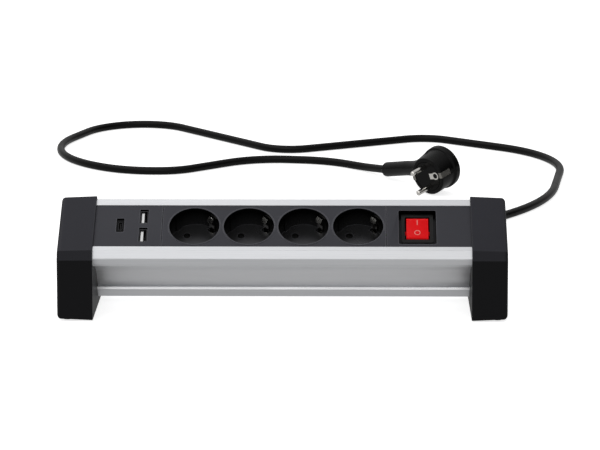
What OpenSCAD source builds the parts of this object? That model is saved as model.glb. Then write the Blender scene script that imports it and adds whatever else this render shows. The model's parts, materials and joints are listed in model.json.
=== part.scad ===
// Desk power strip: an aluminium profile between two plastic end caps, with a tilted socket face,
// a USB module, a switch module, and a cord with an angled earthed plug.
// Frame: X along the strip, Y towards the back, Z up. The origin is on the desk,
// at the middle of the end caps' footprint.

/* [Strip] */
// Width of each end cap along the strip
end_cap_width = 27.8; // [27:0.1:29]
// Tilt of the socket face towards the user
face_tilt = 32; // [31:0.5:33]
// Wall of the aluminium profile
profile_wall = 1.8; // [1.5:0.1:2]

/* [Modules] */
// Length of the USB module
usb_module_length = 52.7; // [50:0.1:56]
// Length of the switch module
switch_module_length = 66.1; // [62:0.1:70]
// Distance between socket centres
socket_pitch = 42.5; // [42.4:0.1:45]
// Width of the channel that holds the modules
module_width = 44.8; // [44.6:0.1:45]

/* [Sockets] */
// Radius of the socket recess
recess_radius = 19.6; // [19.5:0.05:19.7]
// Depth of the socket recess
recess_depth = 17.5; // [17:0.1:18]
// Distance between the two pin holes
pin_spacing = 19; // [18.8:0.1:19.2]
// Angle through which a safety shutter turns
shutter_turn = 45; // [35:1:50]

/* [Switch] */
// Tilt of the rocker at rest, with its front half pressed
rocker_tilt = 8; // [6:0.5:9]
// Width of the rocker
rocker_width = 17; // [16:0.5:17.5]

/* [Cord and plug] */
// Outer radius of the cord
cord_radius = 3.8; // [3.5:0.1:4]
// Radius of the plug pins
pin_radius = 2.4; // [2.35:0.05:2.45]
// Length of the plug pins
pin_length = 19; // [18.5:0.5:19.5]
// Turn of the plug on the desk
plug_heading = -40.3; // [-45:0.1:-35]

/* [Hidden] */
$fn = 48;

tiny = 0.01;
gap = 0.1;
collar_half = 0.2;

// Lengths along the strip. The count is fixed, because each socket has a shutter node of its own.
socket_count = 4;
first_socket_offset = 25;
socket_block_length = socket_count * socket_pitch + 4.2;
visible_length = usb_module_length + socket_block_length + switch_module_length;
rim_x = visible_length / 2;
insert_depth = 3;
profile_length = visible_length + 2 * insert_depth;
usb_seam = usb_module_length - rim_x;
switch_seam = usb_seam + socket_block_length;
socket_x = [for (i = [0 : socket_count - 1]) usb_seam + first_socket_offset + i * socket_pitch];
module_end = rim_x + insert_depth - 0.3;

// Section sizes: distance back from the front bottom corner, and height
base_depth = 84;
foot_height = 0.7;
face_centre = [32.4, 68.5];
cove_centre = [8, -3.5];
cove_radius = 45;
face_half = 22.5;
lead_radius = 1.1;
strip_back = 30;
strip_front = -26.4;

// Heights over the socket face, measured along its normal
plate_top = -0.5;
plate_thickness = 2.3;
plate_bottom = plate_top - plate_thickness;
floor_top = plate_top - recess_depth;
floor_bottom = floor_top - 1.5;
chamber_bottom = -38.2;
cup_radius = recess_radius + 1.3;
rail_inner = 21.15;
rail_width = 10;

// Pin holes lie on one diagonal of the face, the earth clips on the other
pin_angle = 135;
pin_offset = pin_spacing / 2;
pin_hole_radius = 2.85;
bar_offset = pin_offset * cos(45);

// Screw ports of the profile
port_radius = 3.1;
port_bore = 1.6;
face_ports = [[25, -5.6], [-24.4, -5.2]];
floor_ports = [[75.2, 12.1], [55.2, 11.7]];

function on_section(p) = face_centre + [p[0] * cos(face_tilt) - p[1] * sin(face_tilt),
                                        p[0] * sin(face_tilt) + p[1] * cos(face_tilt)];
screw_points = concat([for (p = face_ports) on_section(p)], floor_ports);

// ---------- Helpers ----------

function unit(v) = v / norm(v);

// Arc that rounds one corner; the points are [x, y] and the corner has a radius
function corner_arc(before, corner, after, radius, steps) =
    let (
        u = unit(before - corner),
        v = unit(after - corner),
        half = acos(u * v) / 2,
        reach = radius / tan(half),
        centre = corner + unit(u + v) * radius / sin(half),
        from = corner + u * reach - centre,
        to = corner + v * reach - centre,
        start = atan2(from[1], from[0]),
        turn = atan2(from[0] * to[1] - from[1] * to[0], from * to)
    )
    [for (i = [0 : steps])
        let (a = start + turn * i / steps)
        centre + radius * [cos(a), sin(a)]];

function flat(p) = [p[0], p[1]];

// Closed outline from corners [x, y, corner radius]
function rounded(corners, steps = 5) =
    let (n = len(corners))
    [for (i = [0 : n - 1])
        each (corners[i][2] == 0 ? [flat(corners[i])] :
            corner_arc(flat(corners[(i + n - 1) % n]), flat(corners[i]), flat(corners[(i + 1) % n]),
                corners[i][2], steps))];

// The same corners with every edge of a counter-clockwise convex outline moved inwards by d
function moved_corner(a, p, b, d) =
    let (
        e = unit(p - a),
        f = unit(b - p),
        n = [-e[1], e[0]],
        m = [-f[1], f[0]]
    )
    p + (n + m) * d / (1 + n * m);
function inset(corners, d) =
    let (n = len(corners))
    [for (i = [0 : n - 1])
        let (q = moved_corner(flat(corners[(i + n - 1) % n]), flat(corners[i]),
            flat(corners[(i + 1) % n]), d))
        [q[0], q[1], corners[i][2] == 0 ? 0 : max(0.2, corners[i][2] - d)]];
function sharp(points) = [for (p = points) [p[0], p[1], 0]];

// A section of the strip, drawn as [back, up] and run along X
module along_strip(length) {
    rotate([90, 0, 90])
        linear_extrude(height = length, center = true)
            translate([-base_depth / 2, 0])
                children();
}

module in_face_section() {
    translate(face_centre)
        rotate(face_tilt)
            children();
}

// Solids in the frame of the socket face: X along the strip, Y up the face, Z out of it
module on_face() {
    translate([0, face_centre[0] - base_depth / 2, face_centre[1]])
        rotate([face_tilt, 0, 0])
            children();
}

// A section [up the face, out of it] run along the strip between two places
module face_run(x_from, x_to) {
    translate([x_from, 0, 0])
        rotate([90, 0, 90])
            linear_extrude(height = x_to - x_from)
                children();
}

module block(x, y, z) {
    translate([x[0], y[0], z[0]])
        cube([x[1] - x[0], y[1] - y[0], z[1] - z[0]]);
}

module rod(radius, z_from, z_to) {
    translate([0, 0, z_from])
        cylinder(r = radius, h = z_to - z_from);
}

module window(width, depth, radius) {
    polygon(rounded([[width / 2, depth / 2, radius], [-width / 2, depth / 2, radius],
        [-width / 2, -depth / 2, radius], [width / 2, -depth / 2, radius]]));
}

// Round bar that follows points, with a tangent arc of the given radius at each inner point
function bend_reach(points, bends, i) =
    i == 0 || i == len(points) - 1 ? 0 :
    let (
        u = unit(points[i - 1] - points[i]),
        v = unit(points[i + 1] - points[i])
    )
    bends[i - 1] / tan(acos(u * v) / 2);

module straight_bar(from, to, radius) {
    run = to - from;
    multmatrix(facing(from, run))
        cylinder(r = radius, h = norm(run));
}

function facing(at, direction) =
    let (
        z = unit(direction),
        side = abs(z[2]) < 0.9 ? [0, 0, 1] : [1, 0, 0],
        x = unit(cross(side, z)),
        y = cross(z, x)
    )
    [[x[0], y[0], z[0], at[0]], [x[1], y[1], z[1], at[1]], [x[2], y[2], z[2], at[2]], [0, 0, 0, 1]];

module bend(before, corner, after, bend_radius, radius) {
    u = unit(before - corner);
    v = unit(after - corner);
    half = acos(u * v) / 2;
    centre = corner + unit(u + v) * bend_radius / sin(half);
    x = unit(corner + u * bend_radius / tan(half) - centre);
    z = unit(cross(v, u));
    y = cross(z, x);
    multmatrix([[x[0], y[0], z[0], centre[0]], [x[1], y[1], z[1], centre[1]],
        [x[2], y[2], z[2], centre[2]], [0, 0, 0, 1]])
        rotate_extrude(angle = 180 - 2 * half)
            translate([bend_radius, 0])
                circle(r = radius);
}

// Thin collar that ties a straight stretch to the bend after it
module collar(at, direction, radius) {
    multmatrix(facing(at - unit(direction) * collar_half, direction))
        cylinder(r = radius + 0.03, h = 2 * collar_half);
}

module bent_bar(points, bends, radius) {
    last = len(points) - 1;
    for (i = [0 : last - 1]) {
        run = unit(points[i + 1] - points[i]);
        from = points[i] + run * bend_reach(points, bends, i);
        to = points[i + 1] - run * bend_reach(points, bends, i + 1);
        straight_bar(from, to, radius);
        if (i > 0) collar(from, run, radius);
        if (i < last - 1) collar(to, run, radius);
    }
    for (i = [1 : last - 1])
        bend(points[i - 1], points[i], points[i + 1], bends[i - 1], radius);
}

// Insulated lead laid straight from point to point, with a round corner at each inner point
module lead(points, radius) {
    last = len(points) - 1;
    for (i = [0 : last - 1])
        straight_bar(points[i], points[i + 1], radius);
    for (i = [1 : last - 1])
        translate(points[i])
            sphere(r = radius + 0.05);
}

// ---------- Aluminium profile ----------

profile_corners = [
    concat(on_section([strip_back, 0]), 1.2),
    concat(on_section([strip_front, 0]), 0.8),
    [7.1, 47.8, 1.6],
    [9, 43.3, 0.8],
    [46, 7.3, 0],
    [80, 7.3, 3],
    [80, 49, 14]
];
ledge_corners = [[49, 7.3, 0.6], [53.2, 7.3, 0], [53.2, 9.3, 0], [50.4, 15.9, 0], [45.6, 15.9, 0.3],
    [44.7, 14, 0.25]];

module profile_outline(grow = 0) {
    difference() {
        polygon(rounded(inset(profile_corners, -grow)));
        translate(cove_centre)
            circle(r = cove_radius - grow, $fn = 96);
    }
    polygon(rounded(inset(ledge_corners, -grow)));
}

module profile_hollow(wall) {
    difference() {
        polygon(rounded(inset(profile_corners, wall)));
        translate(cove_centre)
            circle(r = cove_radius + wall, $fn = 96);
    }
}

module at_screw_ports() {
    for (p = screw_points)
        translate(p)
            children();
}

module profile_section() {
    difference() {
        union() {
            difference() {
                profile_outline();
                profile_hollow(profile_wall);
            }
            intersection() {
                polygon(rounded(inset(profile_corners, 0.6)));
                union() {
                    at_screw_ports()
                        circle(r = port_radius);
                    in_face_section()
                        for (side = [-1, 1])
                            translate([side * (rail_inner + rail_width / 2), plate_bottom - 0.9])
                                square([rail_width, 1.6], center = true);
                }
            }
        }
        in_face_section()
            translate([-face_half, plate_bottom - gap])
                square([2 * face_half, 10]);
        at_screw_ports()
            circle(r = port_bore);
    }
}

module aluminium_profile() {
    color("silver")
        along_strip(profile_length)
            profile_section();
}

// ---------- End caps ----------

cap_corners = [
    concat(on_section([32, 1.75]), 2),
    concat(on_section([-28, 1.75]), 1.2),
    [4.2, 47.6, 1.2],
    [0, foot_height, 1.5],
    [base_depth, foot_height, 2],
    [base_depth, 46.2, 6]
];
cap_edge = 3.4;
cap_taper = 1;
cap_wall = 2.8;
shoulder = insert_depth + 0.2;
cap_inside = end_cap_width - cap_wall;
screw_head_seat = 19;
gland_height = 28;
gland_x = 14;
gland_hole = 5;
foot_places = [[7, 10], [20, 10], [7, 72], [20, 72]];
foot_radius = 4.6;

module cap_layer(x, depth) {
    translate([x, 0, 0])
        along_strip(tiny)
            polygon(rounded(inset(cap_corners, depth)));
}

module cap_shape() {
    straight = end_cap_width - cap_edge;
    hull() {
        cap_layer(tiny / 2, 0.25);
        cap_layer(0.3, 0);
        for (a = [0 : 15 : 90])
            cap_layer(straight + cap_edge * sin(a) - tiny, cap_taper + cap_edge * (1 - cos(a)));
    }
}

// Right-hand cap with its rim at x = 0; the rim holds the end of the profile
module end_cap() {
    difference() {
        cap_shape();
        translate([shoulder / 2 - 0.5, 0, 0])
            along_strip(shoulder + 1)
                profile_outline(gap);
        difference() {
            translate([(cap_inside + shoulder) / 2 - 0.5, 0, 0])
                along_strip(cap_inside - shoulder + 1)
                    profile_hollow(2.6);
            translate([cap_inside / 2 + shoulder, 0, 0])
                along_strip(cap_inside)
                    at_screw_ports()
                        circle(r = 4.2);
        }
        translate([end_cap_width / 2, 0, 0])
            along_strip(end_cap_width + 2)
                at_screw_ports()
                    circle(r = 1.9);
        translate([screw_head_seat + 5, 0, 0])
            along_strip(10)
                at_screw_ports()
                    circle(r = 3.3);
        translate([(cap_inside + shoulder + 2) / 2, 0, 0])
            along_strip(cap_inside - shoulder - 2)
                intersection() {
                    translate(cove_centre)
                        circle(r = cove_radius - 4, $fn = 96);
                    translate([18, 0])
                        square([26, 60]);
                }
        for (p = foot_places)
            translate([p[0], p[1] - base_depth / 2, -1])
                cylinder(r = foot_radius + gap, h = foot_height + 2.2);
    }
}

module left_end_cap() {
    color("dimgray")
        mirror([1, 0, 0])
            translate([rim_x, 0, 0])
                end_cap();
}

clamp_y = 64.5;
clamp_screw_x = [-7.5, 7.5];

module right_end_cap() {
    color("dimgray")
        translate([rim_x, 0, 0])
            union() {
                difference() {
                    end_cap();
                    translate([gland_x, base_depth / 2 - 10, gland_height])
                        rotate([-90, 0, 0])
                            cylinder(r = gland_hole, h = 20);
                }
                // Cradle under the cord clamp
                difference() {
                    block([gland_x - 9.2, gland_x + 9.2], [clamp_y - 5 - 42, clamp_y + 5 - 42],
                        [7.5, gland_height - 0.4]);
                    translate([gland_x, 0, gland_height])
                        rotate([-90, 0, 0])
                            cylinder(r = cord_radius + 0.08, h = 60, center = true);
                    for (x = clamp_screw_x)
                        translate([gland_x + x, clamp_y - 42, gland_height - 9])
                            cylinder(r = 1.1, h = 12);
                }
            }
}

module tapping_screw(length, shaft, head, head_height) {
    difference() {
        union() {
            cylinder(r = shaft, h = length);
            translate([0, 0, length])
                cylinder(r = head, h = head_height);
        }
        for (turn = [0, 90])
            rotate(turn)
                translate([-head * 0.6, -shaft * 0.22, length + head_height * 0.4])
                    cube([head * 1.2, shaft * 0.44, head_height]);
    }
}

module end_cap_screws() {
    color("lightgray")
        for (side = [0, 1])
            mirror([side, 0, 0])
                for (p = screw_points)
                    translate([rim_x - 9, p[0] - base_depth / 2, p[1]])
                        rotate([0, 90, 0])
                            tapping_screw(screw_head_seat + 9, port_bore - 0.06, 3, 2.2);
}

module rubber_feet() {
    color("black")
        for (side = [0, 1])
            mirror([side, 0, 0])
                for (p = foot_places)
                    translate([rim_x + p[0], p[1] - base_depth / 2, 0]) {
                        cylinder(r = foot_radius - 0.6, h = foot_height);
                        translate([0, 0, foot_height])
                            cylinder(r = foot_radius, h = 1);
                    }
}

// ---------- Cord entry ----------

module at_cord_entry() {
    translate([rim_x + gland_x, base_depth / 2, gland_height])
        rotate([-90, 0, 0])
            children();
}

module cable_gland() {
    color("black")
        at_cord_entry()
            difference() {
                union() {
                    rod(gland_hole - gap, -5, 0);
                    rod(gland_hole + 1.6, 0, 1.6);
                    translate([0, 0, 1.6])
                        cylinder(r1 = gland_hole, r2 = cord_radius + 1, h = 16);
                }
                rod(cord_radius + 0.08, -6, 20);
            }
}

module cord_clamp() {
    color("black")
        translate([rim_x + gland_x, clamp_y - 42, gland_height])
            difference() {
                block([-9.2, 9.2], [-4, 4], [0.3, 5.6]);
                rotate([90, 0, 0])
                    cylinder(r = cord_radius + 0.08, h = 20, center = true);
                for (x = clamp_screw_x)
                    translate([x, 0, -1])
                        cylinder(r = 1.4, h = 10);
            }
}

module cord_clamp_screws() {
    color("lightgray")
        for (x = clamp_screw_x)
            translate([rim_x + gland_x + x, clamp_y - 42, gland_height - 2.4])
                tapping_screw(8.05, 1.05, 2, 1.2);
}

// ---------- USB module ----------

usb_a_x = usb_seam - 14.6;
usb_a_places = [-9.9, 9.9];
usb_c_place = [usb_seam - 32.8, 1];
usb_a_shell = [5.8, 13.2];
usb_a_opening = [6.6, 15.2];
usb_a_opening_lift = 0.6;
usb_shell_bottom = -16.6;
usb_c_shell_size = [3.2, 9];
usb_c_recess = [6, 14.8];
usb_c_recess_depth = 1.1;

module usb_a_windows() {
    for (b = usb_a_places)
        translate([usb_a_x, b + usb_a_opening_lift])
            window(usb_a_opening[0], usb_a_opening[1], 0.4);
}

module usb_c_window(grow) {
    translate(usb_c_place)
        window(usb_c_shell_size[0] + grow, usb_c_shell_size[1] + grow,
            (usb_c_shell_size[0] + grow) / 2 - 0.02);
}

module usb_plate() {
    color("dimgray")
        on_face()
            difference() {
                block([-module_end, usb_seam - 0.25], [-module_width / 2, module_width / 2],
                    [plate_bottom, plate_top]);
                translate([0, 0, plate_bottom - 1])
                    linear_extrude(height = plate_thickness + 2) {
                        usb_a_windows();
                        usb_c_window(0.5);
                    }
                translate([0, 0, plate_top - usb_c_recess_depth])
                    linear_extrude(height = 3)
                        translate(usb_c_place)
                            window(usb_c_recess[0], usb_c_recess[1], 1);
            }
}

usb_housing_corners = [[20.4, plate_bottom - 0.05], [-18.4, plate_bottom - 0.05], [-18.4, -21],
    [-11.4, -27.5], [-11.4, -36], [20.4, -36]];

module usb_housing() {
    color("black")
        on_face()
            difference() {
                face_run(3 - rim_x, usb_seam - 3)
                    polygon(usb_housing_corners);
                face_run(4.4 - rim_x, usb_seam - 4.4)
                    polygon(rounded(inset(sharp(usb_housing_corners), 1.4)));
                block([4.4 - rim_x, usb_seam - 4.4], [-17, 19], [-6, 0]);
            }
}

module usb_a_shells() {
    color("silver")
        on_face()
            for (b = usb_a_places)
                translate([usb_a_x, b, usb_shell_bottom])
                    difference() {
                        linear_extrude(height = plate_top - 0.3 - usb_shell_bottom)
                            window(usb_a_shell[0], usb_a_shell[1], 0.4);
                        translate([0, 0, 1])
                            linear_extrude(height = 40)
                                window(usb_a_shell[0] - 0.7, usb_a_shell[1] - 0.7, 0.25);
                    }
}

module usb_a_tongues() {
    color("white")
        on_face()
            for (b = usb_a_places)
                translate([usb_a_x - 0.9, b, usb_shell_bottom + 1.05])
                    union() {
                        block([-1, 1], [-5.6, 5.6], [0, 13.4]);
                        block([-1.6, 2.9], [-6, 6], [0, 2.5]);
                    }
}

module usb_c_shell() {
    color("silver")
        on_face()
            translate([usb_c_place[0], usb_c_place[1], usb_shell_bottom])
                difference() {
                    linear_extrude(height = plate_top - usb_c_recess_depth - usb_shell_bottom)
                        window(usb_c_shell_size[0], usb_c_shell_size[1], usb_c_shell_size[0] / 2 - 0.02);
                    translate([0, 0, 1])
                        linear_extrude(height = 40)
                            window(usb_c_shell_size[0] - 0.6, usb_c_shell_size[1] - 0.6,
                                usb_c_shell_size[0] / 2 - 0.32);
                }
}

module usb_c_tongue() {
    color("black")
        on_face()
            translate([usb_c_place[0], usb_c_place[1], usb_shell_bottom + 1.05])
                block([-0.35, 0.35], [-3.3, 3.3], [0, 13.2]);
}

board_top = usb_shell_bottom - 0.05;
board_bottom = board_top - 1.6;

module usb_circuit_board() {
    color("darkgreen")
        on_face()
            block([5 - rim_x, usb_seam - 5], [-16.4, 18.6], [board_bottom, board_top]);
}

module usb_transformer() {
    color("goldenrod")
        on_face()
            translate([usb_seam - 20, 8, board_bottom - 0.05])
                mirror([0, 0, 1])
                    union() {
                        block([-8, 8], [-7, 7], [0, 2]);
                        cylinder(r = 5.4, h = 12);
                        block([-8, 8], [-7, 7], [10, 12]);
                    }
}

module usb_capacitors() {
    color("navy")
        on_face()
            for (b = [1, 12])
                translate([usb_seam - 40, b, board_bottom - 14])
                    cylinder(r = 4, h = 13.95);
}

// ---------- Socket block ----------

chamber_corners = [[15.6, floor_bottom + 0.2], [-15.6, floor_bottom + 0.2], [-15.6, -27.4],
    [-11.4, -27.4], [-11.4, chamber_bottom], [15.6, chamber_bottom]];
post_x = concat([usb_seam + 5.6], [for (i = [0 : socket_count - 2]) socket_x[i] + socket_pitch / 2],
    [socket_x[socket_count - 1] + 15.3]);
post_radius = 2.6;
pivot_radius = 2;
pivot_end = -23;
shutter_top = floor_bottom - 0.25;
shutter_bottom = shutter_top - 1.8;
clip_reach = 18.7;
earth_rail_offset = 12.8;
earth_rail_top = floor_bottom - 2.4;
earth_rail_height = 2;

module at_sockets() {
    for (x = socket_x)
        translate([x, 0, 0])
            children();
}

module at_pin_holes() {
    for (turn = [0, 180])
        rotate(pin_angle + turn)
            translate([pin_offset, 0, 0])
                children();
}

module at_earth_clips() {
    for (turn = [0, 180])
        rotate(pin_angle - 90 + turn)
            children();
}

module socket_block() {
    rib_width = 5;
    color("dimgray")
        on_face()
            union() {
                difference() {
                    union() {
                        block([usb_seam + 0.15, switch_seam - 0.15], [-module_width / 2, module_width / 2],
                            [plate_bottom, plate_top]);
                        at_sockets() {
                            rod(cup_radius, floor_bottom, plate_bottom + 1);
                            rod(recess_radius + 0.9, plate_bottom, plate_top + 0.3);
                        }
                        face_run(usb_seam + 2, switch_seam - 2)
                            polygon(chamber_corners);
                    }
                    at_sockets()
                        rod(recess_radius, floor_top, 5);
                    face_run(usb_seam + 3.4, switch_seam - 3.4)
                        polygon([[14.4, floor_bottom], [-14.4, floor_bottom], [-14.4, -26.2],
                            [-10.2, -26.2], [-10.2, chamber_bottom - 5], [14.4, chamber_bottom - 5]]);
                    at_sockets() {
                        at_pin_holes()
                            rod(pin_hole_radius, floor_bottom - 1, floor_top + 1);
                        at_earth_clips()
                            block([clip_reach - 3.2, clip_reach + 0.7], [-3.2, 3.2],
                                [floor_bottom - 0.1, floor_top + 1]);
                    }
                    // Way for the earth lead through the end wall
                    translate([switch_seam - 4, earth_rail_offset, earth_rail_top - earth_rail_height / 2])
                        rotate([0, 90, 0])
                            cylinder(r = lead_radius + 0.2, h = 3);
                }
                at_sockets() {
                    rod(pivot_radius, pivot_end, floor_bottom + 0.1);
                    at_pin_holes()
                        block([recess_radius - pin_offset - 1.3, recess_radius - pin_offset + 0.4],
                            [-rib_width / 2, rib_width / 2], [floor_top - 0.1, plate_top - 3]);
                }
                for (x = post_x)
                    translate([x, 0, 0])
                        difference() {
                            rod(post_radius, chamber_bottom, floor_bottom + 0.1);
                            rod(1.05, chamber_bottom - 1, chamber_bottom + 8);
                        }
            }
}

module socket_rear_cover() {
    cover_top = chamber_bottom - 0.05;
    color("black")
        on_face()
            difference() {
                union() {
                    block([usb_seam + 2, switch_seam - 2], [-11.4, 15.6], [cover_top - 1.6, cover_top]);
                    at_sockets()
                        difference() {
                            rod(2.9, cover_top - 0.1, shutter_bottom - 0.15);
                            rod(pivot_radius + 0.15, pivot_end - 0.3, shutter_bottom);
                        }
                }
                for (x = post_x)
                    translate([x, 0, 0])
                        rod(1.4, cover_top - 3, cover_top + 1);
            }
}

module rear_cover_screws() {
    color("lightgray")
        on_face()
            for (x = post_x)
                translate([x, 0, chamber_bottom + 6])
                    mirror([0, 0, 1])
                        tapping_screw(7.7, 1, 2.1, 1.2);
}

// Bar with two spring leaves at each socket that grip a pin
module bus_bar(side) {
    leaf_inner = 2.5;
    leaf_outer = 3.1;
    last = socket_x[socket_count - 1];
    shift = -side * bar_offset;
    on_face()
        translate([0, side * bar_offset, 0])
            union() {
                block([socket_x[0] + shift - 4, last + shift + 4], [-leaf_outer, leaf_outer],
                    [chamber_bottom + 0.1, chamber_bottom + 0.8]);
                for (x = socket_x)
                    translate([x + shift, 0, 0])
                        for (flip = [0, 1])
                            mirror([0, flip, 0])
                                block([-3, 3], [leaf_inner, leaf_outer], [chamber_bottom + 0.5, -25.5]);
            }
}

module live_bus_bar() {
    color("gold")
        bus_bar(1);
}

module neutral_bus_bar() {
    color("gold")
        bus_bar(-1);
}

// Spring strip that rises through the socket floor and bulges into the recess, on a narrow tail
module earth_clip() {
    strip = [[clip_reach, floor_bottom + 0.1], [clip_reach, -11], [clip_reach - 2.4, -8],
        [clip_reach - 0.3, -4.4], [clip_reach - 1, -4.1], [clip_reach - 3.3, -8],
        [clip_reach - 0.8, -11.4], [clip_reach - 0.8, floor_bottom + 0.1]];
    rotate([90, 0, 0])
        linear_extrude(height = 5.4, center = true)
            polygon(strip);
    block([clip_reach - 0.8, clip_reach], [-1.2, 1.2],
        [earth_rail_top - earth_rail_height, floor_bottom + 0.2]);
}

module earth_bus_bar() {
    rail_start = socket_x[0] - 16;
    rail_bottom = earth_rail_top - earth_rail_height;
    color("gold")
        on_face()
            union() {
                for (side = [-1, 1])
                    translate([0, side * earth_rail_offset, 0])
                        block([rail_start, switch_seam - 4], [-0.5, 0.5], [rail_bottom, earth_rail_top]);
                block([rail_start, rail_start + 1.8], [-earth_rail_offset, earth_rail_offset],
                    [rail_bottom, earth_rail_top - 1]);
                at_sockets()
                    at_earth_clips()
                        earth_clip();
            }
}

// Round shutter under a socket floor; its holes miss the pins until it turns
module shutter(index) {
    color("gray")
        on_face()
            translate([socket_x[index], 0, 0])
                rotate(-shutter_turn)
                    difference() {
                        rod(12.3, shutter_bottom, shutter_top);
                        rod(pivot_radius + 0.06, shutter_bottom - 1, shutter_top + 1);
                        at_pin_holes()
                            rod(pin_hole_radius, shutter_bottom - 1, shutter_top + 1);
                    }
}

module shutter_springs() {
    wire = 0.4;
    coil = 3.9;
    color("lightgray")
        on_face()
            at_sockets()
                translate([0, 0, shutter_bottom - 1.2])
                    union() {
                        rotate_extrude(angle = 300)
                            translate([coil, 0])
                                circle(r = wire);
                        translate([coil, 0, 0])
                            rotate([90, 0, 0])
                                cylinder(r = wire, h = 5);
                    }
}

// ---------- Switch module ----------

switch_centre = [switch_seam + 24.4, 0.9];
well_centre = [switch_centre[0], -0.65];
well_size = [29.2, 36.3];
bezel_size = [24.8, 31];
bezel_top = -3.5;
bezel_bottom = -5.6;
well_floor = -5.7;
body_size = [22, 29.2];
switch_bottom = -27;
rocker_pivot = -9.5;
rocker_sweep = 11.7;
rocker_opening = [rocker_width + 2.2, 2 * rocker_sweep + 0.6];
pole_offset = 5.6;
lever_pivot = -21.6;
lever_tilt = -7;
lever_length = 16;
knuckle_radius = 0.45;

module at_switch() {
    on_face()
        translate([switch_centre[0], switch_centre[1], 0])
            children();
}

module switch_plate() {
    color("dimgray")
        on_face()
            difference() {
                union() {
                    block([switch_seam + 0.25, module_end], [-module_width / 2, module_width / 2],
                        [plate_bottom, plate_top]);
                    translate([well_centre[0], well_centre[1], well_floor - 1.4])
                        linear_extrude(height = 4.5)
                            window(well_size[0] + 2.4, well_size[1] + 2.4, 2);
                }
                translate([well_centre[0], well_centre[1], well_floor])
                    linear_extrude(height = 10)
                        window(well_size[0], well_size[1], 1.2);
                translate([switch_centre[0], switch_centre[1], well_floor - 5])
                    linear_extrude(height = 10)
                        window(body_size[0] + 0.3, body_size[1] + 0.3, 0.8);
            }
}

module switch_housing() {
    color("black")
        at_switch()
            difference() {
                union() {
                    translate([0, 0, bezel_bottom])
                        linear_extrude(height = bezel_top - bezel_bottom)
                            window(bezel_size[0], bezel_size[1], 1.5);
                    translate([0, 0, switch_bottom])
                        linear_extrude(height = bezel_bottom - switch_bottom + 0.1)
                            window(body_size[0], body_size[1], 0.6);
                }
                translate([0, 0, switch_bottom + 1.4])
                    linear_extrude(height = 40)
                        window(rocker_opening[0], rocker_opening[1], 0.4);
                translate([0, 0, rocker_pivot])
                    rotate([0, 90, 0])
                        cylinder(r = 1.55, h = body_size[0] - 1.2, center = true);
                for (x = [-pole_offset, pole_offset])
                    for (y = [0, -7])
                        block([x - 2.1, x + 2.1], [y - 0.5, y + 0.5],
                            [switch_bottom - 1, switch_bottom + 2]);
            }
}

module tilted_rocker() {
    translate([0, 0, rocker_pivot])
        rotate([rocker_tilt, 0, 0])
            children();
}

// Rocker about its pivot, with round ends that clear the housing as it tilts
module switch_rocker() {
    top = 7;
    scoop = 90;
    color("red")
        at_switch()
            tilted_rocker()
                union() {
                    difference() {
                        translate([-rocker_width / 2, 0, 0])
                            rotate([90, 0, 90])
                                linear_extrude(height = rocker_width)
                                    intersection() {
                                        circle(r = rocker_sweep, $fn = 96);
                                        difference() {
                                            translate([-20, -2.5])
                                                square([40, top + 2.5]);
                                            translate([0, top + scoop - 0.6])
                                                circle(r = scoop, $fn = 180);
                                        }
                                    }
                        block([-rocker_width / 2 + 1.4, rocker_width / 2 - 1.4], [-10, 10], [-3, 3.5]);
                    }
                    rotate([0, 90, 0])
                        cylinder(r = 1.5, h = body_size[0] - 1.4, center = true);
                    for (x = [-pole_offset, pole_offset])
                        translate([x, 0, 0])
                            difference() {
                                rod(1.9, -7, 4);
                                rod(1.25, -8, 0);
                            }
                }
}

module rocker_plungers() {
    color("white")
        at_switch()
            tilted_rocker()
                for (x = [-pole_offset, pole_offset])
                    translate([x, 0, 0]) {
                        rod(1.2, -10.4, -1.6);
                        translate([0, 0, -10.4])
                            sphere(r = 1.2);
                    }
}

module contact_levers() {
    color("goldenrod")
        at_switch()
            for (x = [-pole_offset, pole_offset])
                translate([x, 0, lever_pivot])
                    rotate([lever_tilt, 0, 0])
                        union() {
                            block([-1.8, 1.8], [-lever_length / 2, lever_length / 2], [-0.3, 0.3]);
                            rotate([0, 90, 0])
                                cylinder(r = knuckle_radius, h = 3.6, center = true);
                            translate([0, -lever_length / 2 + 1.2, -0.9])
                                cylinder(r = 1.1, h = 0.8);
                        }
}

module switch_terminals() {
    color("silver")
        at_switch()
            for (x = [-pole_offset, pole_offset]) {
                block([x - 1.9, x + 1.9], [-0.4, 0.4],
                    [switch_bottom - 7, lever_pivot - knuckle_radius - 0.1]);
                block([x - 1.9, x + 1.9], [-7.4, -6.6], [switch_bottom - 7, lever_pivot - 3.2]);
            }
}

module neon_lamp() {
    color("orange")
        at_switch()
            translate([0, 0, -14.5])
                rotate([90, 0, 0])
                    union() {
                        cylinder(r = 2, h = 9, center = true);
                        translate([0, 0, 4.5])
                            sphere(r = 2);
                    }
}

// ---------- Leads ----------

// Place in the strip's frame of a point in the face frame
function from_face(p) =
    [p[0], face_centre[0] - base_depth / 2 + p[1] * cos(face_tilt) - p[2] * sin(face_tilt),
        face_centre[1] + p[1] * sin(face_tilt) + p[2] * cos(face_tilt)];

cord_end_y = 13;
lead_start = [rim_x + gland_x, cord_end_y - 0.6, gland_height];
lead_y = 17;

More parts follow.
